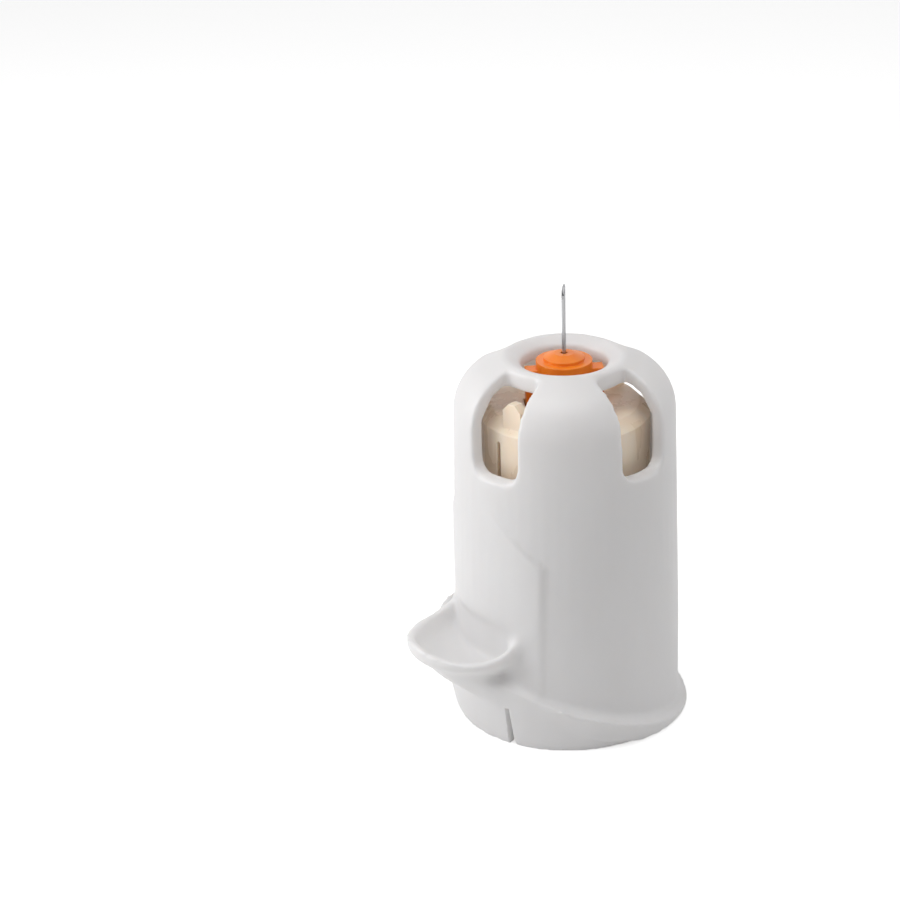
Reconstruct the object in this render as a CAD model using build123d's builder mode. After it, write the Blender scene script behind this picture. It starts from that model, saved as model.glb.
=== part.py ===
from build123d import *
import math
import os

os.makedirs("parts", exist_ok=True)

# Safety pen needle, standing on its open end with the needle up.
# Origin on the axis at the rim it stands on, +Z towards the needle's point, millimetres.

# Needle tube
needle_radius = 0.115
needle_lumen_radius = 0.065
needle_exposed = 4.0
needle_bevel_angle = 15.0
needle_bevel_azimuth = -25.0
rear_needle_length = 5.6

# Hub with the socket for the pen's thread
socket_radius = 4.6
socket_depth = 9.0
socket_mouth_radius = 4.8
socket_mouth_depth = 3.2
socket_lead_in = 0.15
hub_wall = 0.78
hub_floor = 1.0
hub_spigot_height = 1.6
hub_spigot_wall = 0.7
post_radius = 0.95
post_top_radius = 0.7
post_height = 8.4
glue_well_radius = 0.42
glue_well_depth = 0.8
glue_well_taper = 12.0
glue_dome_height = 0.3
rear_boss_radius = 1.15
rear_boss_tip_radius = 0.92
rear_boss_height = 1.2

# Guide housing over the spring
housing_wall = 0.7
housing_top = 18.8
housing_roof = 0.75
housing_corner = 0.6
finger_width = 1.3
finger_tip_width = 0.45
finger_height = 1.15
finger_shoulder = 0.72
finger_thickness = 0.6
finger_step = 0.2
finger_slot = 0.28
finger_slot_height = 5.2
finger_slot_drop = 0.4
finger_azimuth = -40.0

# Orange needle guard
guard_radius = 1.58
guard_top = 21.25
guard_bore_radius = 1.2
guard_pip_radius = 1.14
guard_pip_top_radius = 0.55
guard_pip_height = 0.41
guard_pip_side = 0.18
guard_roof = 0.5
guard_needle_hole = 0.2
guard_key_reach = 0.6
guard_key_width = 0.95
guard_key_drop = 0.45
guard_key_azimuth = -84.0
guard_flange_radius = 4.04
guard_flange_thickness = 0.9
guard_travel = 5.2

# Spring, at its pressed length
spring_wire_radius = 0.15
spring_wire_sides = 6
spring_radius = 2.9
spring_turns = 3

# Running clearances, radial
clear_guard = 0.06
clear_sleeve = 0.07
clear_key = 0.08

# White release sleeve
crest_height = 21.6
ring_radius = 2.42
ring_lip_drop = 0.4
crest_round = 0.35
lip_round = 0.12
ring_underside = 20.4
ring_outer_radius = 3.62
crest_radius = 3.3
nose_slope = 25.6
nose_corner = 2.8
nose_inner_corner = 0.8
nose_wall = 0.8
barrel_top_radius = 6.2
barrel_low_radius = 6.47
barrel_low_height = 6.0
window_sill = 16.0
window_width = 3.25
window_taper = 9.2
window_corner = 0.52
window_spread = 42.6
sleeve_turn = 2.7
window_depth_past_ring = 0.1
sleeve_travel = 1.2
snap_bead_height = 0.4
snap_bead_base = 2.3
snap_bead_depth = 0.18

# Skirt and tilted collar
skirt_radius = 6.58
skirt_flare = 11.3
skirt_corner = 0.3
slit_azimuth = -29.0
slit_top_width = 0.24
slit_mouth_width = 0.42
slit_height = 2.6
ledge_azimuth = -58.0
collar_radius = 7.13
collar_offset = 0.15
collar_height = 2.8
collar_tilt = 19.6
collar_thickness = 1.3
collar_taper_height = 1.2
collar_taper_depth = 0.42
collar_root_slope = 0.3

# Finger cup on the collar
cup_radius = 3.7
cup_centre = 6.4
cup_back = 7.2
cup_lip_base = 5.4
cup_lip_round = 0.22
cup_side_slope = 40.6
cup_keel_round = 1.2
saddle_radius = 4.64
saddle_height = 5.8
saddle_reach = 8.2
hollow_floor = 4.75
hollow_floor_radius = 3.0
hollow_mouth_radius = 3.36
hollow_round = 1.4
hollow_sink = 0.15

# Raised finger pad above the cup
pad_round_radius = 7.4
pad_face_radius = 6.3
pad_half_width = 4.72
pad_shoulder = 11.4
pad_top = 14.3
pad_top_half_width = 1.9
pad_edge_slope = 0.12

# Levels and radii that follow
hub_radius = socket_radius + hub_wall
floor_top = socket_depth + hub_floor
sleeve_bore = hub_radius + clear_sleeve
pip_top = guard_top + guard_pip_height
needle_tip = pip_top + needle_exposed
housing_bore = guard_flange_radius + clear_guard
housing_radius = housing_bore + housing_wall
ceiling = housing_top - housing_roof
flange_top = ceiling - guard_travel
flange_bottom = flange_top - guard_flange_thickness
spring_length = flange_bottom - floor_top
key_radius = guard_radius + guard_key_reach
window_inner_radius = ring_outer_radius - window_depth_past_ring


def facing(azimuth, z=0.0, out=0.0):
    """Plane that faces outward at this azimuth: X runs sideways and Y runs up."""
    a = math.radians(azimuth)
    outward = (math.sin(a), -math.cos(a), 0.0)
    sideways = (math.cos(a), math.sin(a), 0.0)
    return Plane(origin=(outward[0] * out, outward[1] * out, z), x_dir=sideways, z_dir=outward)


def level(azimuth, z=0.0):
    """Horizontal plane whose X runs outward at this azimuth."""
    a = math.radians(azimuth)
    return Plane(origin=(0, 0, z), x_dir=(math.sin(a), -math.cos(a), 0), z_dir=(0, 0, 1))


def cutaway(azimuth):
    """Upright plane through the axis: X runs outward at this azimuth and Y runs up."""
    a = math.radians(azimuth)
    return Plane(origin=(0, 0, 0), x_dir=(math.sin(a), -math.cos(a), 0), z_dir=(-math.cos(a), -math.sin(a), 0))


# Cannula: one steel tube, bevelled at the point and cut on the slant at the rear
with BuildPart() as cannula:
    rear_end = socket_depth - rear_needle_length
    with BuildSketch(Plane.XY.offset(rear_end)):
        Circle(needle_radius)
        Circle(needle_lumen_radius, mode=Mode.SUBTRACT)
    extrude(amount=needle_tip - rear_end)
    bevel_run = needle_radius / math.tan(math.radians(needle_bevel_angle))
    with BuildSketch(cutaway(needle_bevel_azimuth)):
        with BuildLine():
            Polyline(
                (-needle_radius, needle_tip),
                (needle_radius, needle_tip - 2 * bevel_run),
                (2 * needle_radius, needle_tip - 2 * bevel_run),
                (2 * needle_radius, needle_tip + needle_radius),
                (-needle_radius, needle_tip + needle_radius),
                close=True,
            )
        make_face()
    extrude(amount=2 * needle_radius, both=True, mode=Mode.SUBTRACT)
    with BuildSketch(cutaway(needle_bevel_azimuth + 180)):
        with BuildLine():
            Polyline(
                (-needle_radius, rear_end),
                (needle_radius, rear_end + 2 * bevel_run),
                (2 * needle_radius, rear_end + 2 * bevel_run),
                (2 * needle_radius, rear_end - needle_radius),
                (-needle_radius, rear_end - needle_radius),
                close=True,
            )
        make_face()
    extrude(amount=2 * needle_radius, both=True, mode=Mode.SUBTRACT)
cannula.part.label = "cannula"
export_step(cannula.part, "parts/cannula.step")


# Hub: socket, floor, snap groove for the sleeve, spigot for the housing and the needle's post
with BuildPart() as needle_hub:
    post_top = floor_top + post_height
    groove_low = snap_bead_base - sleeve_travel - snap_bead_depth - clear_sleeve
    groove_high = snap_bead_base + snap_bead_height + snap_bead_depth
    with BuildSketch(Plane.XZ):
        with BuildLine():
            Polyline(
                (needle_radius, post_top),
                (post_top_radius, post_top),
                (post_radius, post_top - 2 * post_top_radius),
                (post_radius, floor_top),
                (housing_bore - hub_spigot_wall, floor_top),
                (housing_bore - hub_spigot_wall, floor_top + hub_spigot_height),
                (housing_bore, floor_top + hub_spigot_height),
                (housing_bore, floor_top),
                (hub_radius, floor_top),
                (hub_radius, groove_high),
                (hub_radius - snap_bead_depth, groove_high - snap_bead_depth),
                (hub_radius - snap_bead_depth, groove_low),
                (hub_radius, groove_low),
                (hub_radius, 0),
                (socket_mouth_radius + socket_lead_in, 0),
                (socket_mouth_radius, socket_lead_in),
                (socket_mouth_radius, socket_mouth_depth),
                (socket_radius, socket_mouth_depth + socket_lead_in),
                (socket_radius, socket_depth),
                (rear_boss_radius, socket_depth),
                (rear_boss_tip_radius, socket_depth - rear_boss_height),
                (needle_radius, socket_depth - rear_boss_height),
                close=True,
            )
        make_face()
    revolve(axis=Axis.Z)
    with BuildSketch(Plane.XY.offset(post_top)):
        Circle(glue_well_radius)
    extrude(amount=-glue_well_depth, taper=glue_well_taper, mode=Mode.SUBTRACT)
needle_hub.part.label = "needle_hub"
export_step(needle_hub.part, "parts/needle_hub.step")


# Adhesive: the cured bead that fills the glue well round the cannula
with BuildPart() as adhesive_bead:
    dome_radius = (glue_well_radius**2 + glue_dome_height**2) / (2 * glue_dome_height)
    with BuildSketch(Plane.XY.offset(post_top)):
        Circle(glue_well_radius)
    extrude(amount=-glue_well_depth, taper=glue_well_taper)
    with BuildSketch(Plane.XZ):
        with BuildLine():
            Polyline((0, post_top + glue_dome_height), (0, post_top), (glue_well_radius, post_top))
            RadiusArc((glue_well_radius, post_top), (0, post_top + glue_dome_height), -dome_radius)
        make_face()
    revolve(axis=Axis.Z)
    with BuildSketch(Plane.XY.offset(post_top - glue_well_depth)):
        Circle(needle_radius)
    extrude(amount=2 * glue_well_depth, mode=Mode.SUBTRACT)
adhesive_bead.part.label = "adhesive_bead"
export_step(adhesive_bead.part, "parts/adhesive_bead.step")


# Guide housing: the clear cylinder with a keyed roof and two spring fingers
with BuildPart() as guide_housing:
    with BuildSketch(Plane.XZ):
        with BuildLine():
            Polyline(
                (guard_radius + clear_guard, ceiling),
                (housing_bore, ceiling),
                (housing_bore, floor_top),
                (housing_radius, floor_top),
                (housing_radius, housing_top - housing_corner),
                (housing_radius - housing_corner, housing_top),
                (guard_radius + clear_guard, housing_top),
                close=True,
            )
        make_face()
    revolve(axis=Axis.Z)
    with BuildSketch(level(guard_key_azimuth, ceiling)):
        Rectangle(2 * (key_radius + clear_key), guard_key_width + 2 * clear_key)
    extrude(amount=housing_roof, mode=Mode.SUBTRACT)
    for azimuth in (finger_azimuth, finger_azimuth + 180):
        slot_top = ceiling - finger_slot_drop
        with BuildSketch(facing(azimuth, slot_top - finger_slot_height / 2, housing_radius + housing_wall)):
            with Locations((finger_width / 2 + finger_slot / 2, 0), (-finger_width / 2 - finger_slot / 2, 0)):
                SlotOverall(finger_slot_height, finger_slot, rotation=90)
        extrude(amount=-3 * housing_wall, mode=Mode.SUBTRACT)
        with BuildSketch(facing(azimuth, housing_top, housing_bore - finger_step)):
            with BuildLine():
                Polyline(
                    (-finger_width / 2, -housing_corner),
                    (finger_width / 2, -housing_corner),
                    (finger_width / 2, finger_shoulder),
                    (finger_tip_width / 2, finger_height),
                    (-finger_tip_width / 2, finger_height),
                    (-finger_width / 2, finger_shoulder),
                    close=True,
                )
            make_face()
        extrude(amount=finger_thickness)
guide_housing.part.label = "guide_housing"
export_step(guide_housing.part, "parts/guide_housing.step")


# Needle guard: stepped orange nose with two keys, and the flange that the spring pushes
with BuildPart() as needle_guard:
    with BuildSketch(Plane.XZ):
        with BuildLine():
            Polyline(
                (guard_needle_hole, pip_top),
                (guard_pip_top_radius, pip_top),
                (guard_pip_radius, guard_top + guard_pip_side),
                (guard_pip_radius, guard_top),
                (guard_radius, guard_top),
                (guard_radius, flange_top),
                (guard_flange_radius, flange_top),
                (guard_flange_radius, flange_bottom),
                (guard_bore_radius, flange_bottom),
                (guard_bore_radius, guard_top - guard_roof),
                (guard_needle_hole, guard_top - guard_roof),
                close=True,
            )
        make_face()
    revolve(axis=Axis.Z)
    with BuildSketch(level(guard_key_azimuth, flange_top)):
        Rectangle(2 * key_radius, guard_key_width)
        Circle(guard_bore_radius, mode=Mode.SUBTRACT)
    extrude(amount=guard_top - guard_key_drop - flange_top)
needle_guard.part.label = "needle_guard"
export_step(needle_guard.part, "parts/needle_guard.step")


# Guard spring, pressed between the hub's floor and the guard's flange
with BuildPart() as guard_spring:
    coil_rise = spring_length - 2 * spring_wire_radius
    with BuildLine() as coil:
        Helix(pitch=coil_rise / spring_turns, height=coil_rise, radius=spring_radius,
              center=(0, 0, floor_top + spring_wire_radius))
    with BuildSketch(Plane(origin=coil.line @ 0, z_dir=coil.line % 0)):
        RegularPolygon(spring_wire_radius, spring_wire_sides)
    sweep()
guard_spring.part.label = "guard_spring"
export_step(guard_spring.part, "parts/guard_spring.step")


# Skirt: the flared foot, cut off on the slant by the collar's top
collar_plane = level(ledge_azimuth, collar_height).rotated((0, collar_tilt, 0))
work_height = 3 * collar_height

with BuildPart() as skirt:
    flared_radius = skirt_radius + work_height * math.tan(math.radians(skirt_flare))
    with BuildSketch(Plane.XZ):
        with BuildLine():
            Polyline(
                (0, 0),
                (skirt_radius - skirt_corner, 0),
                (skirt_radius, skirt_corner),
                (flared_radius, work_height),
                (0, work_height),
                close=True,
            )
        make_face()
    revolve(axis=Axis.Z)
    split(bisect_by=collar_plane, keep=Keep.BOTTOM)

# Collar: a tilted flange whose outer face tapers in to the skirt
with BuildPart() as collar:
    with BuildSketch(level(ledge_azimuth, -work_height)):
        with Locations((collar_offset, 0)):
            Circle(collar_radius)
    extrude(amount=3 * work_height)
    split(bisect_by=collar_plane, keep=Keep.BOTTOM)
    split(bisect_by=collar_plane.offset(-collar_thickness), keep=Keep.TOP)
    wall = collar.faces().filter_by(GeomType.CYLINDER)[0]
    underside = collar.faces().filter_by(GeomType.PLANE).sort_by(Axis.Z)[0]
    chamfer(underside.edges(), length=collar_taper_height, length2=collar_taper_depth, reference=wall)
    split(bisect_by=Plane.XY, keep=Keep.TOP)

# Finger cup: a round bowl on a keel, its rim dipped in the middle like a saddle
with BuildPart() as cup:
    section = facing(ledge_azimuth, 0, cup_centre)
    keel = cup_lip_base - cup_radius * math.tan(math.radians(cup_side_slope))
    with BuildSketch(section) as cup_profile:
        with BuildLine():
            FilletPolyline(
                (-cup_radius, cup_back),
                (-cup_radius, cup_lip_base),
                (0, keel),
                (cup_radius, cup_lip_base),
                (cup_radius, cup_back),
                radius=[0, cup_lip_round, cup_keel_round, cup_lip_round, 0],
                close=True,
            )
        make_face()
    extrude(amount=hub_radius - cup_centre)
    with BuildSketch(section):
        add(cup_profile.sketch)
        Rectangle(cup_radius, cup_back, align=(Align.MIN, Align.MIN), mode=Mode.SUBTRACT)
    revolve(axis=Axis(section.origin, (0, 0, 1)), revolution_arc=180)
    with BuildSketch(cutaway(ledge_azimuth)):
        with Locations((saddle_reach, saddle_height + saddle_radius)):
            Circle(saddle_radius)
    extrude(amount=2 * cup_radius, both=True, mode=Mode.SUBTRACT)

# Hollow that a fingertip drops into, no deeper than the pad's face
with BuildPart() as hollow:
    with BuildSketch(section):
        with BuildLine():
            FilletPolyline(
                (0, hollow_floor),
                (hollow_floor_radius, hollow_floor),
                (hollow_mouth_radius, cup_back),
                (0, cup_back),
                radius=[0, hollow_round, 0, 0],
                close=True,
            )
        make_face()
    revolve(axis=Axis(section.origin, (0, 0, 1)))
    with BuildSketch(level(ledge_azimuth)):
        with Locations((pad_face_radius - hollow_sink - pad_round_radius, 0)):
            Circle(pad_round_radius)
    extrude(amount=pad_top, mode=Mode.SUBTRACT)

# Finger pad: the flattened face above the cup
with BuildPart() as pad:
    with BuildSketch(level(ledge_azimuth)):
        with Locations((pad_face_radius - pad_round_radius, 0)):
            Circle(pad_round_radius)
    extrude(amount=pad_top)
    with BuildSketch(facing(ledge_azimuth)):
        with BuildLine():
            Polyline(
                (pad_half_width, 0),
                (pad_half_width, pad_shoulder),
                (pad_top_half_width, pad_top),
                (-pad_top_half_width, pad_top),
                (-pad_half_width, pad_shoulder),
                (-pad_half_width, 0),
                close=True,
            )
        make_face()
    extrude(amount=collar_radius, mode=Mode.INTERSECT)
    chamfer(pad.faces().filter_by(GeomType.CYLINDER)[0].edges(), pad_edge_slope)

# Release sleeve: barrel and domed nose, with the bore it runs on
slope = math.tan(math.radians(nose_slope))
nose_thickness = nose_wall / math.cos(math.radians(nose_slope))
underside_edge = crest_radius + (crest_height - nose_thickness - ring_underside) / slope


def nose_line(radius):
    """Height of the nose's sloped outer face at this radius."""
    return crest_height - (radius - crest_radius) * slope


with BuildPart() as release_sleeve:
    with BuildSketch(Plane.XZ):
        with BuildLine():
            Line((0, 0), (barrel_low_radius, 0))
            Line((barrel_low_radius, 0), (barrel_low_radius, barrel_low_height))
            FilletPolyline(
                (barrel_low_radius, barrel_low_height),
                (barrel_top_radius, nose_line(barrel_top_radius)),
                (crest_radius, crest_height),
                (ring_radius, crest_height - ring_lip_drop),
                (ring_radius, ring_underside),
                radius=[nose_corner, crest_round, lip_round],
            )
            Polyline((ring_radius, ring_underside), (0, ring_underside), (0, 0))
        make_face()
    revolve(axis=Axis.Z)
    add(collar.part)
    collar_top = release_sleeve.faces().filter_by(collar_plane).sort_by(Axis.Z)[-1]
    chamfer(collar_top.inner_wires()[0].edges(), collar_root_slope)
    add(skirt.part)
    add(pad.part)
    add(cup.part)
    add(hollow.part, mode=Mode.SUBTRACT)

    # Four windows, drafted outward, and the ring that ties the petals together
    for azimuth in (window_spread, -window_spread, 180 - window_spread, 180 + window_spread):
        rise = (barrel_top_radius - window_inner_radius) * math.tan(math.radians(window_taper))
        sill = window_sill + rise
        inner_width = window_width - 2 * rise
        height = crest_height - sill
        with BuildSketch(facing(azimuth + sleeve_turn, sill + height / 2, window_inner_radius)) as window:
            Rectangle(inner_width, height)
            fillet(window.vertices().group_by(Axis.Z)[0], window_corner)
        extrude(amount=barrel_low_radius, taper=-window_taper, mode=Mode.SUBTRACT)
    with BuildSketch(Plane.XZ):
        with BuildLine():
            FilletPolyline(
                (ring_outer_radius, nose_line(ring_outer_radius)),
                (crest_radius, crest_height),
                (ring_radius, crest_height - ring_lip_drop),
                (ring_radius, ring_underside),
                radius=[crest_round, lip_round],
            )
            Polyline((ring_radius, ring_underside), (ring_outer_radius, ring_underside),
                     (ring_outer_radius, nose_line(ring_outer_radius)))
        make_face()
    revolve(axis=Axis.Z)

    # Bore, with the snap bead that keeps the sleeve on the hub
    bead_radius = hub_radius - snap_bead_depth + clear_sleeve
    with BuildSketch(Plane.XZ):
        with BuildLine():
            Polyline((0, 0), (sleeve_bore, 0), (sleeve_bore, snap_bead_base - snap_bead_depth),
                     (bead_radius, snap_bead_base), (bead_radius, snap_bead_base + snap_bead_height),
                     (sleeve_bore, snap_bead_base + snap_bead_height + snap_bead_depth))
            Polyline(
                (sleeve_bore, snap_bead_base + snap_bead_height + snap_bead_depth),
                (sleeve_bore, nose_line(sleeve_bore) - nose_thickness - nose_inner_corner),
                (sleeve_bore - nose_inner_corner, nose_line(sleeve_bore - nose_inner_corner) - nose_thickness),
                (underside_edge, ring_underside),
                (0, ring_underside),
                (0, 0),
            )
        make_face()
    revolve(axis=Axis.Z, mode=Mode.SUBTRACT)

    # Slit that lets the skirt spring over the hub
    for azimuth in (slit_azimuth, slit_azimuth + 180):
        with BuildSketch(facing(azimuth, 0, socket_radius)):
            with BuildLine():
                Polyline((-slit_mouth_width / 2, 0), (-slit_top_width / 2, slit_height),
                         (slit_top_width / 2, slit_height), (slit_mouth_width / 2, 0), close=True)
            make_face()
        extrude(amount=collar_radius + collar_offset - socket_radius, mode=Mode.SUBTRACT)
release_sleeve.part.label = "release_sleeve"
export_step(release_sleeve.part, "parts/release_sleeve.step")
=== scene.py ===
import math

import bmesh
import bpy
import numpy
from mathutils import Matrix, Vector


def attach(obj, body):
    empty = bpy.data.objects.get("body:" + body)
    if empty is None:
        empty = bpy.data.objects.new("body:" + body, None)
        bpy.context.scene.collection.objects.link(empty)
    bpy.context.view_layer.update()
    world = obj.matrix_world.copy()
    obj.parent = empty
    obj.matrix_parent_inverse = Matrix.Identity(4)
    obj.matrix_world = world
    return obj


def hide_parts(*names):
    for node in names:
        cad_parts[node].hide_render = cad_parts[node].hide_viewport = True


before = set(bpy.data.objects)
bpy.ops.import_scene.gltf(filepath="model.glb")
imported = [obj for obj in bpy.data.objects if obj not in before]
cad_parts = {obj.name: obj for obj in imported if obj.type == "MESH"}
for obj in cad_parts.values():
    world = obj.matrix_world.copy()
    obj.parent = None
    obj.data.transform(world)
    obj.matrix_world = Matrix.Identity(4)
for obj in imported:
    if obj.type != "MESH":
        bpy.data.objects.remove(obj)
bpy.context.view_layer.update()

MM = 0.001  # every size below is written in millimetres, and Blender works in metres

# Camera fitted to the photograph, with its angles in radians
CAMERA_PLACE = Vector((0.0, -127.99, 71.02)) * MM
CAMERA_YAW = -0.0507
CAMERA_PITCH = 0.4066
CAMERA_ROLL = -0.0304
FOCAL_PIXELS = 2467.4
PHOTO_PIXELS = 900
SENSOR_WIDTH = 36.0
CLIP_START, CLIP_END = 1.0, 20000.0

# Studio
LAMPS = {
    # name: (azimuth, elevation, distance, size, power in watts), angles in degrees round the part
    "key_lamp": (-84.0, 20.0, 150.0, 110.0, 0.135),
    "side_lamp": (98.0, 24.0, 160.0, 110.0, 0.035),
    "top_lamp": (-20.0, 78.0, 170.0, 120.0, 0.135),
}
LAMP_AIM_HEIGHT = 11.0
AMBIENT = 0.34
FLOOR_SIZE = 4000.0
FLOOR_LEVEL = -0.01
FLOOR_TONE = 0.84
FLOOR_LIFT = 0.52  # glow that takes the floor to white where it is seen directly

# Surfaces
RAMP_START, RAMP_END = 0.3, 0.7  # stretch of the noise over which a colour changes
EDGE_SAMPLES = 8
MARK_SHADE = 0.7  # brightness of the steel's darkest marks beside its tone

# Thread in the hub's socket
THREAD_WALL_RADIUS = 4.6
THREAD_HEIGHT = 0.26
THREAD_PITCH = 1.5
THREAD_START = 3.8
THREAD_TURNS = 3.1
THREAD_ROOT_HALF_WIDTH = 0.36
THREAD_CREST_HALF_WIDTH = 0.1
THREAD_SINK = 0.04
THREAD_RUN_OUT = 0.22
THREAD_STEPS = 64
# Rounding of its flank: shares of the height, and of the half width at the root or the crest
FLANK_HEIGHT, FLANK_WIDTH = 0.55, 0.6
SHOULDER_HEIGHT, SHOULDER_WIDTH = 0.93, 1.4
FLAT_WIDTH = 0.5

# White moulding: the CAD sleeve with its edges and joins run together
VOXEL = 0.12
FACE_SHARE = 0.35
EDGE_PASSES, EDGE_SHARE = 8, 0.5
# The bore isn't softened
BORE_REACH, BORE_TOP = 5.75, 10.8
# The barrel between the cup and the windows, and the foot, are softened less
WALL_SHARE = 0.12
WALL_REACH = 7.0
WALL_LOW, WALL_HIGH = 8.6, 15.2
FOOT_TOP = 2.9
# The cup's join with the pad and the collar is softened more
JOIN_PASSES = 32
JOIN_START, JOIN_FULL = 4.5, 5.0
JOIN_FROM, JOIN_TO = 6.7, 7.9
JOIN_LOW, JOIN_HIGH = 1.2, 8.4
JOIN_FADE = 1.0

# Collar with its crest under the cup, skirt and slits, as the CAD has them
LEDGE_AZIMUTH = -58.0
COLLAR_RADIUS = 7.13
COLLAR_OFFSET = 0.15
CREST_HEIGHT = 1.45
CREST_SLOPE = 0.29
CREST_CURVE = 0.018
SKIRT_RADIUS, SKIRT_FLARE, SKIRT_CORNER = 6.58, 11.3, 0.3
SLEEVE_BORE = 5.45
SLIT_AZIMUTHS = (-29.0, 151.0)
SLIT_TOP_WIDTH, SLIT_MOUTH_WIDTH = 0.24, 0.42
SLIT_HEIGHT = 2.6
# How far the wedge that cuts a slit runs past the skirt
CUT_BELOW, CUT_INSIDE, CUT_OUTSIDE = 1.0, 0.4, 2.0

# Web that carries the collar out under the cup
WEB_REACH = 6.1
WEB_RADIUS = 3.0
WEB_TOP = 4.6
WEB_DEPTH = 1.3
WEB_TAPER = 0.42
WEB_INSET = 0.36
WEB_STEPS = 48
WEB_BORE = 5.9
WEB_BORE_LENGTH = 18.4  # centred on the foot's level, so half of it clears the web

# Lip's tail, where the cup's lip climbs the pad and dies out
TAIL_PAD_RADIUS = 6.3
TAIL_LOW, TAIL_HIGH = 6.2, 8.0
TAIL_TURN_LOW, TAIL_TURN_HIGH = 31.0, 41.3
TAIL_CURVE = 0.55
TAIL_THICK, TAIL_THIN = 0.42, 0.16
TAIL_STEPS = 16


def around(azimuth, elevation, distance):
    """Point at this azimuth and elevation, in degrees: azimuth 0 is in front and 90 on the right."""
    turn, rise = math.radians(azimuth), math.radians(elevation)
    level = math.cos(rise)
    return Vector((math.sin(turn) * level, -math.cos(turn) * level, math.sin(rise))) * distance


# Materials

def new_material(name):
    """Material with a Principled shader: returns the material, its nodes, its links and the shader."""
    material = bpy.data.materials.new(name)
    material.use_nodes = True
    nodes, links = material.node_tree.nodes, material.node_tree.links
    return material, nodes, links, nodes["Principled BSDF"]


def set_values(shader, **values):
    """Plain values on the shader's own sockets; underscores stand for spaces."""
    for name, value in values.items():
        shader.inputs[name.replace("_", " ")].default_value = value


def local_point(nodes, links, along=1.0):
    """The piece's own coordinates, so that a pattern rides with it; along under 1 draws it out along Z."""
    place = nodes.new("ShaderNodeTexCoord")
    mapping = nodes.new("ShaderNodeMapping")
    mapping.inputs["Scale"].default_value = (1, 1, along)
    links.new(place.outputs["Object"], mapping.inputs["Vector"])
    return mapping.outputs["Vector"]


def noise(nodes, links, point, feature, detail=3.0, roughness=0.5):
    """Noise whose features are about this many millimetres across."""
    texture = nodes.new("ShaderNodeTexNoise")
    texture.inputs["Scale"].default_value = 1.0 / (feature * MM)
    texture.inputs["Detail"].default_value = detail
    texture.inputs["Roughness"].default_value = roughness
    links.new(point, texture.inputs["Vector"])
    return texture.outputs["Fac"]


def ramp(nodes, links, source, low, high):
    """Colour that runs from low to high as the source rises."""
    colours = nodes.new("ShaderNodeValToRGB")
    first, last = colours.color_ramp.elements
    first.position, first.color = RAMP_START, (*low, 1)
    last.position, last.color = RAMP_END, (*high, 1)
    links.new(source, colours.inputs["Fac"])
    return colours.outputs["Color"]


def spread(nodes, links, source, low, high):
    """Number that runs from low to high as the source runs from 0 to 1."""
    span = nodes.new("ShaderNodeMapRange")
    span.inputs["To Min"].default_value = low
    span.inputs["To Max"].default_value = high
    links.new(source, span.inputs["Value"])
    return span.outputs["Result"]


def bump(nodes, links, shader, height, depth, strength=0.5, edge=0.0):
    """Bump of this depth in millimetres, over edges that look rounded by the radius edge."""
    relief = nodes.new("ShaderNodeBump")
    relief.inputs["Strength"].default_value = strength
    relief.inputs["Distance"].default_value = depth * MM
    links.new(height, relief.inputs["Height"])
    if edge:
        rounding = nodes.new("ShaderNodeBevel")
        rounding.samples = EDGE_SAMPLES
        rounding.inputs["Radius"].default_value = edge * MM
        links.new(rounding.outputs["Normal"], relief.inputs["Normal"])
    links.new(relief.outputs["Normal"], shader.inputs["Normal"])


def let_light_through(nodes, links, shader, colour, share):
    """Mixes in a translucent share, so that a thin wall glows with the light behind it."""
    glow = nodes.new("ShaderNodeBsdfTranslucent")
    glow.inputs["Color"].default_value = (*colour, 1)
    both = nodes.new("ShaderNodeMixShader")
    both.inputs["Fac"].default_value = share
    links.new(shader.outputs["BSDF"], both.inputs[1])
    links.new(glow.outputs["BSDF"], both.inputs[2])
    links.new(both.outputs["Shader"], nodes["Material Output"].inputs["Surface"])


def white_plastic():
    """Satin white moulding: faint flow clouds in colour and gloss over a fine spark-eroded grain."""
    material, nodes, links, shader = new_material("white_plastic")
    set_values(shader, IOR=1.49, Subsurface_Weight=0.15, Subsurface_Scale=0.5 * MM,
               Subsurface_Radius=(1.0, 0.85, 0.7))
    let_light_through(nodes, links, shader, colour=(0.92, 0.9, 0.88), share=0.25)
    clouds = noise(nodes, links, local_point(nodes, links, along=0.35), feature=3.5, detail=4)
    tint = ramp(nodes, links, clouds, low=(0.79, 0.785, 0.79), high=(0.83, 0.828, 0.835))
    links.new(tint, shader.inputs["Base Color"])
    links.new(spread(nodes, links, clouds, low=0.3, high=0.44), shader.inputs["Roughness"])
    grain = noise(nodes, links, local_point(nodes, links), feature=0.09, detail=5, roughness=0.6)
    bump(nodes, links, shader, grain, depth=0.004)
    return material


def clear_plastic():
    """Natural translucent moulding: cloudy, with long flow streaks, in a warm peach tone that is partly the
    plastic's own and partly painted orange glow from the guard inside it.
    """
    material, nodes, links, shader = new_material("clear_plastic")
    set_values(shader, IOR=1.5, Transmission_Weight=0.05, Subsurface_Weight=0.3, Subsurface_Scale=0.25 * MM,
               Subsurface_Radius=(1.0, 0.7, 0.45))
    let_light_through(nodes, links, shader, colour=(0.99, 0.85, 0.68), share=0.12)
    streaks = noise(nodes, links, local_point(nodes, links, along=0.25), feature=1.4, detail=4)
    # Peach colour: partly the plastic's own warm tone, partly painted orange glow from the orange guard
    # inside
    tint = ramp(nodes, links, streaks, low=(0.97, 0.76, 0.57), high=(0.99, 0.86, 0.72))
    links.new(tint, shader.inputs["Base Color"])
    links.new(spread(nodes, links, streaks, low=0.2, high=0.36), shader.inputs["Roughness"])
    ripple = noise(nodes, links, local_point(nodes, links), feature=0.2, detail=4)
    bump(nodes, links, shader, ripple, depth=0.006, edge=0.08)
    return material


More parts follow.
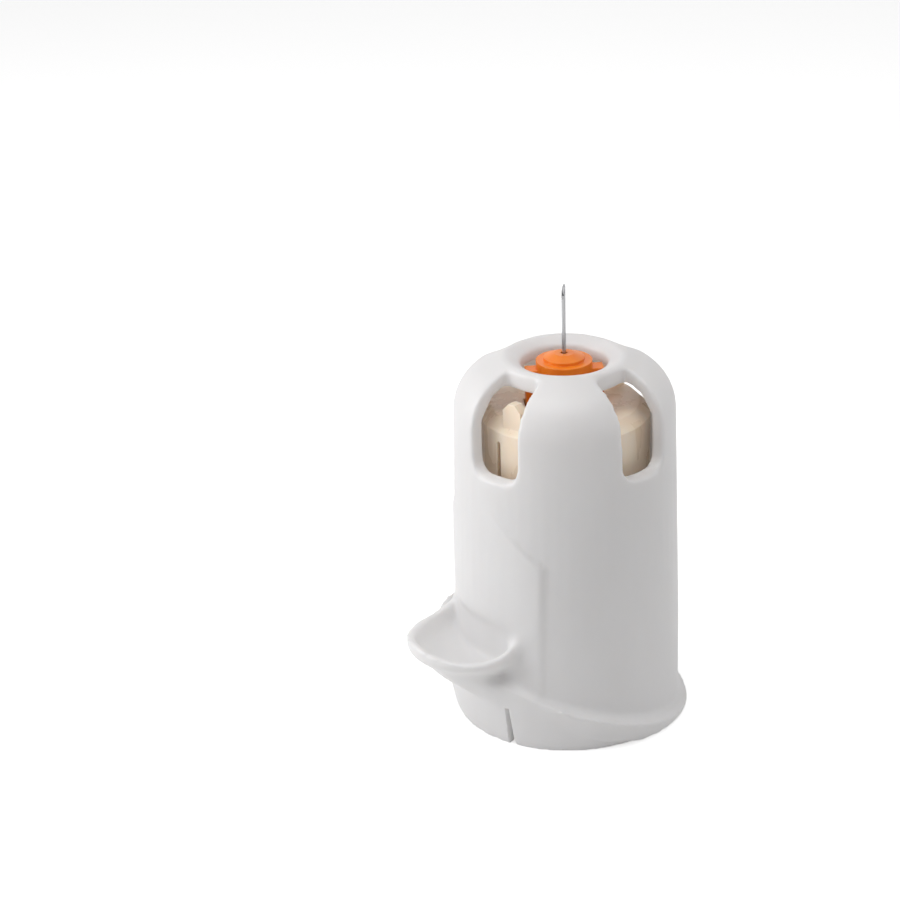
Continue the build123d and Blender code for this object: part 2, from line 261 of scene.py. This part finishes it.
def orange_plastic():
    """Glossy orange moulding with faint darker flow lines."""
    material, nodes, links, shader = new_material("orange_plastic")
    set_values(shader, IOR=1.46, Subsurface_Weight=0.3, Subsurface_Scale=0.5 * MM,
               Subsurface_Radius=(1.0, 0.4, 0.06))
    flow = noise(nodes, links, local_point(nodes, links, along=0.3), feature=0.9, detail=4)
    tint = ramp(nodes, links, flow, low=(0.8, 0.185, 0.006), high=(0.87, 0.235, 0.01))
    links.new(tint, shader.inputs["Base Color"])
    links.new(spread(nodes, links, flow, low=0.28, high=0.42), shader.inputs["Roughness"])
    grain = noise(nodes, links, local_point(nodes, links), feature=0.06, detail=4)
    bump(nodes, links, shader, grain, depth=0.003, edge=0.07)
    return material


def drawn_steel(name, tone, roughness, along):
    """Bright steel with fine draw marks, drawn out along the piece where along is small."""
    material, nodes, links, shader = new_material(name)
    set_values(shader, Metallic=1.0)
    marks = noise(nodes, links, local_point(nodes, links, along), feature=0.03, detail=5, roughness=0.65)
    dark = tuple(MARK_SHADE * part for part in tone)
    links.new(ramp(nodes, links, marks, dark, tone), shader.inputs["Base Color"])
    links.new(spread(nodes, links, marks, *roughness), shader.inputs["Roughness"])
    bump(nodes, links, shader, marks, depth=0.002, strength=0.4)
    return material


def adhesive():
    """Cured clear adhesive with faint clouds."""
    material, nodes, links, shader = new_material("adhesive")
    set_values(shader, IOR=1.52, Transmission_Weight=0.7)
    clouds = noise(nodes, links, local_point(nodes, links), feature=0.3)
    tint = ramp(nodes, links, clouds, low=(0.76, 0.78, 0.74), high=(0.88, 0.9, 0.87))
    links.new(tint, shader.inputs["Base Color"])
    links.new(spread(nodes, links, clouds, low=0.06, high=0.16), shader.inputs["Roughness"])
    return material


def dress(node, material):
    """Gives a CAD node its material, and keeps its shape as it is."""
    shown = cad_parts[node]
    shown.data.materials.clear()
    shown.data.materials.append(material)


# Pieces

def new_piece(name, data, material):
    """Smooth-shaded object of this material, put in the scene."""
    for face in data.polygons:
        face.use_smooth = True
    data.materials.clear()
    data.materials.append(material)
    piece = bpy.data.objects.new(name, data)
    bpy.context.collection.objects.link(piece)
    return piece


def thread_profile(turn):
    """The thread's outline after this many turns: points (inward from the wall, along the axis)."""
    fade = min(1.0, turn / THREAD_RUN_OUT, (THREAD_TURNS - turn) / THREAD_RUN_OUT)
    rise = THREAD_HEIGHT * max(fade, 0.0) ** 0.5
    half = [
        (-THREAD_SINK, THREAD_ROOT_HALF_WIDTH),
        (rise * FLANK_HEIGHT, FLANK_WIDTH * THREAD_ROOT_HALF_WIDTH),
        (rise * SHOULDER_HEIGHT, SHOULDER_WIDTH * THREAD_CREST_HALF_WIDTH),
        (rise, FLAT_WIDTH * THREAD_CREST_HALF_WIDTH),
    ]
    return [(inward, -along) for inward, along in half] + half[::-1]


def socket_thread(material):
    """The socket's thread: a rounded ridge that winds up the wall and runs out at both ends."""
    mesh = bmesh.new()
    rings = []
    for step in range(int(THREAD_TURNS * THREAD_STEPS) + 1):
        turn = step / THREAD_STEPS
        angle = 2 * math.pi * turn
        middle = THREAD_START + turn * THREAD_PITCH
        rings.append([
            mesh.verts.new(Vector(((THREAD_WALL_RADIUS - inward) * math.cos(angle),
                                   (THREAD_WALL_RADIUS - inward) * math.sin(angle),
                                   middle + along)) * MM)
            for inward, along in thread_profile(turn)
        ])
    for ring, following in zip(rings, rings[1:]):
        for corner in range(len(ring)):
            beside = (corner + 1) % len(ring)
            mesh.faces.new((ring[corner], ring[beside], following[beside], following[corner]))
    mesh.faces.new(rings[0])
    mesh.faces.new(reversed(rings[-1]))
    bmesh.ops.recalc_face_normals(mesh, faces=mesh.faces)
    data = bpy.data.meshes.new("socket_thread")
    mesh.to_mesh(data)
    mesh.free()
    ridge = new_piece("socket_thread", data, material)
    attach(ridge, "hub")


def helper_from(mesh, name):
    """Passing object that holds this form; the form itself is freed."""
    data = bpy.data.meshes.new(name)
    mesh.to_mesh(data)
    mesh.free()
    helper = bpy.data.objects.new(name, data)
    bpy.context.collection.objects.link(helper)
    return helper


def mesh_after(helper):
    """New mesh of the helper, with its modifiers applied."""
    return bpy.data.meshes.new_from_object(helper.evaluated_get(bpy.context.evaluated_depsgraph_get()))


def carved(body, cutter, share=1.0):
    """Mesh left of the body, thinned to this share of its faces, when the cutter is taken out of it."""
    helpers = [helper_from(form, "carving") for form in (body, cutter)]
    if share < 1:
        thin = helpers[0].modifiers.new("thin", "DECIMATE")
        thin.ratio = share
    cut = helpers[0].modifiers.new("cut", "BOOLEAN")
    cut.operation, cut.solver, cut.object = "DIFFERENCE", "EXACT", helpers[1]
    left = mesh_after(helpers[0])
    for helper in helpers:
        bpy.data.objects.remove(helper)
    return left


def one_skin(mesh):
    """Mesh of these overlapping forms as one skin, in squares of the voxel's size."""
    draft = helper_from(mesh, "sleeve_draft")
    remesh = draft.modifiers.new("one_skin", "REMESH")
    remesh.mode = "VOXEL"
    remesh.voxel_size = VOXEL
    skin = mesh_after(draft)
    bpy.data.objects.remove(draft)
    return skin


def point_at(azimuth, reach, across, height):
    """Point this far out at the azimuth, this far across from there and this far up."""
    outward = around(azimuth, 0, 1)
    sideways = outward.cross(Vector((0, 0, -1)))
    return outward * reach + sideways * across + Vector((0, 0, height))


def ledge_web():
    """The form under the cup: the collar's circle run out to a smaller one, tapering down."""
    mesh = bmesh.new()
    points = []
    circles = ((COLLAR_OFFSET, COLLAR_RADIUS - WEB_INSET, WEB_INSET), (WEB_REACH, WEB_RADIUS, 0.0))
    for middle, radius, sunk in circles:
        for step in range(WEB_STEPS + 1):
            angle = math.pi * (step / WEB_STEPS - 0.5)
            for drop in (0.0, 1.0):
                bend = radius - drop * WEB_TAPER
                reach = middle + bend * math.cos(angle)
                level = CREST_HEIGHT + CREST_SLOPE * reach + CREST_CURVE * reach ** 2 - sunk
                height = level - WEB_DEPTH if drop else min(level, WEB_TOP)
                place = point_at(LEDGE_AZIMUTH, reach, bend * math.sin(angle), height)
                points.append(mesh.verts.new(place))
    bmesh.ops.convex_hull(mesh, input=points)
    bore = bmesh.new()
    bmesh.ops.create_cone(bore, cap_ends=True, segments=2 * WEB_STEPS, radius1=WEB_BORE, radius2=WEB_BORE,
                          depth=WEB_BORE_LENGTH)
    return carved(mesh, bore)


def lip_tail(mesh):
    """Adds the beads that carry the lip's near end up the pad, thinner as they climb."""
    for step in range(TAIL_STEPS + 1):
        climb = step / TAIL_STEPS
        turn = TAIL_TURN_LOW + (TAIL_TURN_HIGH - TAIL_TURN_LOW) * climb ** TAIL_CURVE
        place = around(LEDGE_AZIMUTH + turn, 0, TAIL_PAD_RADIUS)
        place.z = TAIL_LOW + (TAIL_HIGH - TAIL_LOW) * climb
        bmesh.ops.create_icosphere(mesh, subdivisions=2, matrix=Matrix.Translation(place),
                                   radius=TAIL_THICK + (TAIL_THIN - TAIL_THICK) * climb)


def slit_wedge(mesh, azimuth, low, near, far_at):
    """Adds a slit's wedge from this level up; far_at gives how far out it reaches at a height."""
    points = []
    for height in (low, SKIRT_CORNER, SLIT_HEIGHT):
        width = SLIT_MOUTH_WIDTH + (SLIT_TOP_WIDTH - SLIT_MOUTH_WIDTH) * height / SLIT_HEIGHT
        for side in (-width / 2, width / 2):
            for reach in (near, far_at(height)):
                points.append(mesh.verts.new(point_at(azimuth, reach, side, height)))
    bmesh.ops.convex_hull(mesh, input=points)


def skirt_reach(height):
    """The skirt's outer radius at this height."""
    corner = max(SKIRT_CORNER - height, 0)
    return SKIRT_RADIUS - corner + math.tan(math.radians(SKIRT_FLARE)) * max(height - SKIRT_CORNER, 0)


def cut_reach(height):
    """How far out the wedge that cuts a slit reaches: the same at every height."""
    return SKIRT_RADIUS + CUT_OUTSIDE


def run_together(points, edges, share, passes):
    """Moves every point towards the middle of its neighbours, by its own share, this many times."""
    near, far = edges.T
    count = numpy.bincount(edges.ravel(), minlength=len(points))
    for _ in range(passes):
        for axis in range(3):
            values = points[:, axis]
            total = (numpy.bincount(near, values[far], len(points))
                     + numpy.bincount(far, values[near], len(points)))
            points[:, axis] = values + share * (total / count - values)


def step_up(values, low, high):
    """0 below low, 1 above high and smooth between."""
    share = numpy.clip((values - low) / (high - low), 0, 1)
    return share * share * (3 - 2 * share)


def soften(skin):
    """Rounds the skin's edges, most where the cup joins the rest, and sets its foot flat."""
    points = numpy.empty(len(skin.vertices) * 3)
    skin.vertices.foreach_get("co", points)
    points = points.reshape(-1, 3)
    edges = numpy.empty(len(skin.edges) * 2, dtype=numpy.int32)
    skin.edges.foreach_get("vertices", edges)
    edges = edges.reshape(-1, 2)
    outward = numpy.array(around(LEDGE_AZIMUTH, 0, 1))
    radius = numpy.hypot(points[:, 0], points[:, 1])
    height = points[:, 2]  # follows the points as they move
    free = 1.0 - (radius < BORE_REACH) * (height < BORE_TOP)
    reach = points @ outward
    join = (1 - step_up(reach, JOIN_FROM, JOIN_TO)) * step_up(reach, JOIN_START, JOIN_FULL)
    join *= (step_up(height, JOIN_LOW, JOIN_LOW + JOIN_FADE)
             * (1 - step_up(height, JOIN_HIGH - JOIN_FADE, JOIN_HIGH)))
    run_together(points, edges, EDGE_SHARE * free * join, JOIN_PASSES)
    wall = (radius < WALL_REACH) * (height > WALL_LOW) * (height < WALL_HIGH) + (height < FOOT_TOP)
    run_together(points, edges, numpy.where(wall, WALL_SHARE, EDGE_SHARE) * free, EDGE_PASSES)
    points[:, 2] = numpy.maximum(points[:, 2], 0)
    skin.vertices.foreach_set("co", points.ravel())
    skin.update()


def moulded_sleeve(material):
    """The sleeve as one moulding: its cup runs into the pad and the collar, and no edge stays sharp."""
    mesh = bmesh.new()
    mesh.from_mesh(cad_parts["release_sleeve"].data)
    mesh.transform(Matrix.Scale(1 / MM, 4))
    mesh.from_mesh(ledge_web())
    lip_tail(mesh)
    # The slits are filled here and cut again at the end, since the voxels would leave them ragged
    for azimuth in SLIT_AZIMUTHS:
        slit_wedge(mesh, azimuth, 0, SLEEVE_BORE, skirt_reach)
    skin = one_skin(mesh)
    soften(skin)

    whole = bmesh.new()
    whole.from_mesh(skin)
    wedges = bmesh.new()
    for azimuth in SLIT_AZIMUTHS:
        slit_wedge(wedges, azimuth, -CUT_BELOW, SLEEVE_BORE - CUT_INSIDE, cut_reach)
    data = carved(whole, wedges, FACE_SHARE)
    data.transform(Matrix.Scale(MM, 4))
    sleeve = new_piece("sleeve_moulding", data, material)
    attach(sleeve, "sleeve")
    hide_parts("release_sleeve")


# Camera, lamps and surroundings

def photo_camera():
    """Camera at the photograph's viewing angle."""
    forward = Vector((math.sin(CAMERA_YAW) * math.cos(CAMERA_PITCH),
                      math.cos(CAMERA_YAW) * math.cos(CAMERA_PITCH),
                      -math.sin(CAMERA_PITCH)))
    side = Vector((math.cos(CAMERA_YAW), -math.sin(CAMERA_YAW), 0))
    upward = side.cross(forward)
    right = side * math.cos(CAMERA_ROLL) + upward * math.sin(CAMERA_ROLL)
    up = upward * math.cos(CAMERA_ROLL) - side * math.sin(CAMERA_ROLL)
    data = bpy.data.cameras.new("photo_camera")
    data.sensor_width = SENSOR_WIDTH
    data.lens = SENSOR_WIDTH * FOCAL_PIXELS / PHOTO_PIXELS
    data.clip_start, data.clip_end = CLIP_START * MM, CLIP_END * MM
    camera = bpy.data.objects.new("photo_camera", data)
    turn = Matrix((right, up, -forward)).transposed()
    camera.matrix_world = Matrix.Translation(CAMERA_PLACE) @ turn.to_4x4()
    bpy.context.collection.objects.link(camera)
    bpy.context.scene.camera = camera


def soft_lamps():
    """Large square lamps that face the part."""
    aim = Vector((0, 0, LAMP_AIM_HEIGHT))
    for name, (azimuth, elevation, distance, size, power) in LAMPS.items():
        data = bpy.data.lights.new(name, "AREA")
        data.size = size * MM
        data.energy = power
        lamp = bpy.data.objects.new(name, data)
        away = around(azimuth, elevation, distance)
        lamp.location = (aim + away) * MM
        lamp.rotation_mode = "QUATERNION"
        lamp.rotation_quaternion = away.to_track_quat("Z", "Y")
        bpy.context.collection.objects.link(lamp)


def seen_directly(nodes, links):
    """1 for rays from the camera, a glossy surface or clear plastic, else 0."""
    path = nodes.new("ShaderNodeLightPath")
    total = path.outputs["Is Camera Ray"]
    for kind in ("Is Glossy Ray", "Is Transmission Ray"):
        larger = nodes.new("ShaderNodeMath")
        larger.operation = "MAXIMUM"
        links.new(total, larger.inputs[0])
        links.new(path.outputs[kind], larger.inputs[1])
        total = larger.outputs["Value"]
    return total


def white_surroundings():
    """World that lights plainly and looks white."""
    world = bpy.data.worlds.new("surroundings")
    world.use_nodes = True
    nodes, links = world.node_tree.nodes, world.node_tree.links
    sky = nodes["Background"]
    sky.inputs["Color"].default_value = (1, 1, 1, 1)
    links.new(spread(nodes, links, seen_directly(nodes, links), AMBIENT, 1.0), sky.inputs["Strength"])
    bpy.context.scene.world = world


def pale_floor():
    """Floor that keeps the part's shadow and otherwise looks white."""
    half, level = FLOOR_SIZE / 2 * MM, FLOOR_LEVEL * MM
    corners = [(x * half, y * half, level) for x, y in ((-1, -1), (1, -1), (1, 1), (-1, 1))]
    data = bpy.data.meshes.new("floor")
    data.from_pydata(corners, [], [(0, 1, 2, 3)])
    floor = bpy.data.objects.new("floor", data)
    bpy.context.collection.objects.link(floor)
    material, nodes, links, shader = new_material("floor")
    set_values(shader, Base_Color=(FLOOR_TONE, FLOOR_TONE, FLOOR_TONE, 1), Roughness=0.8,
               Specular_IOR_Level=0.2, Emission_Color=(1, 1, 1, 1))
    glow = spread(nodes, links, seen_directly(nodes, links), 0.0, FLOOR_LIFT)
    links.new(glow, shader.inputs["Emission Strength"])
    data.materials.append(material)


clear = clear_plastic()
moulded_sleeve(white_plastic())
dress("needle_hub", clear)
dress("guide_housing", clear)
dress("needle_guard", orange_plastic())
dress("cannula", drawn_steel("needle_steel", tone=(0.46, 0.46, 0.47), roughness=(0.16, 0.3), along=0.04))
dress("guard_spring", drawn_steel("spring_steel", tone=(0.6, 0.6, 0.61), roughness=(0.22, 0.38), along=1.0))
dress("adhesive_bead", adhesive())
socket_thread(clear)

photo_camera()
soft_lamps()
white_surroundings()
pale_floor()
bpy.context.scene.view_settings.view_transform = "Standard"
